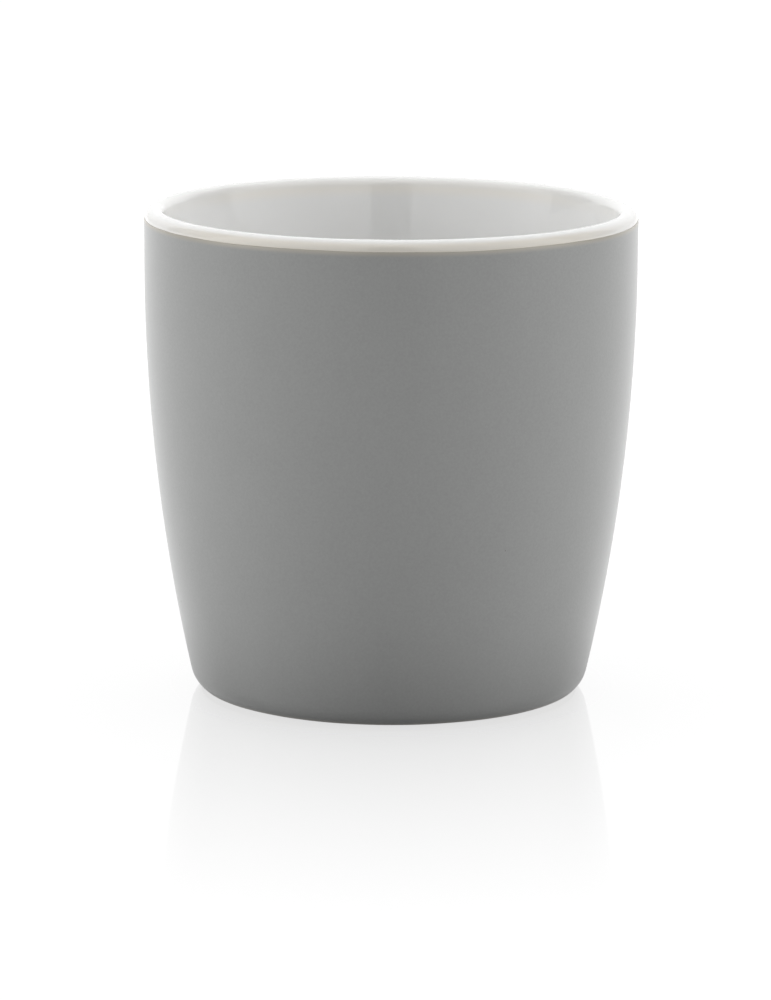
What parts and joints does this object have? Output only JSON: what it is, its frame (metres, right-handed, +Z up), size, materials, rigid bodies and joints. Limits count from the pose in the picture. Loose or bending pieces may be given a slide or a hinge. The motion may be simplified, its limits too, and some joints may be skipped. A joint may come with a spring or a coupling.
{
  "type": "mug",
  "caption": "Mug without a handle: grey matte stoneware wall that curves in to a turned foot ring, gloss white glaze inside and over the rounded lip, for holding a drink.",
  "frame": {"origin": "centre of the foot ring, in the plane that the mug stands on", "axes": "+Z up along the mug's axis; X and Y lie in the table plane and are alike, as the mug is a solid of revolution"},
  "size_m": [0.085, 0.085, 0.0842],
  "materials": {
    "bare_stoneware": "matte",
    "gloss_white_glaze": "gloss",
    "matte_grey_glaze": "matte"
  },
  "bodies": {
    "root": {"stoneware_body": "bare_stoneware", "white_liner_glaze": "gloss_white_glaze", "grey_wall_glaze": "matte_grey_glaze", "grey_base_glaze": "matte_grey_glaze"}
  },
  "joints": []
}
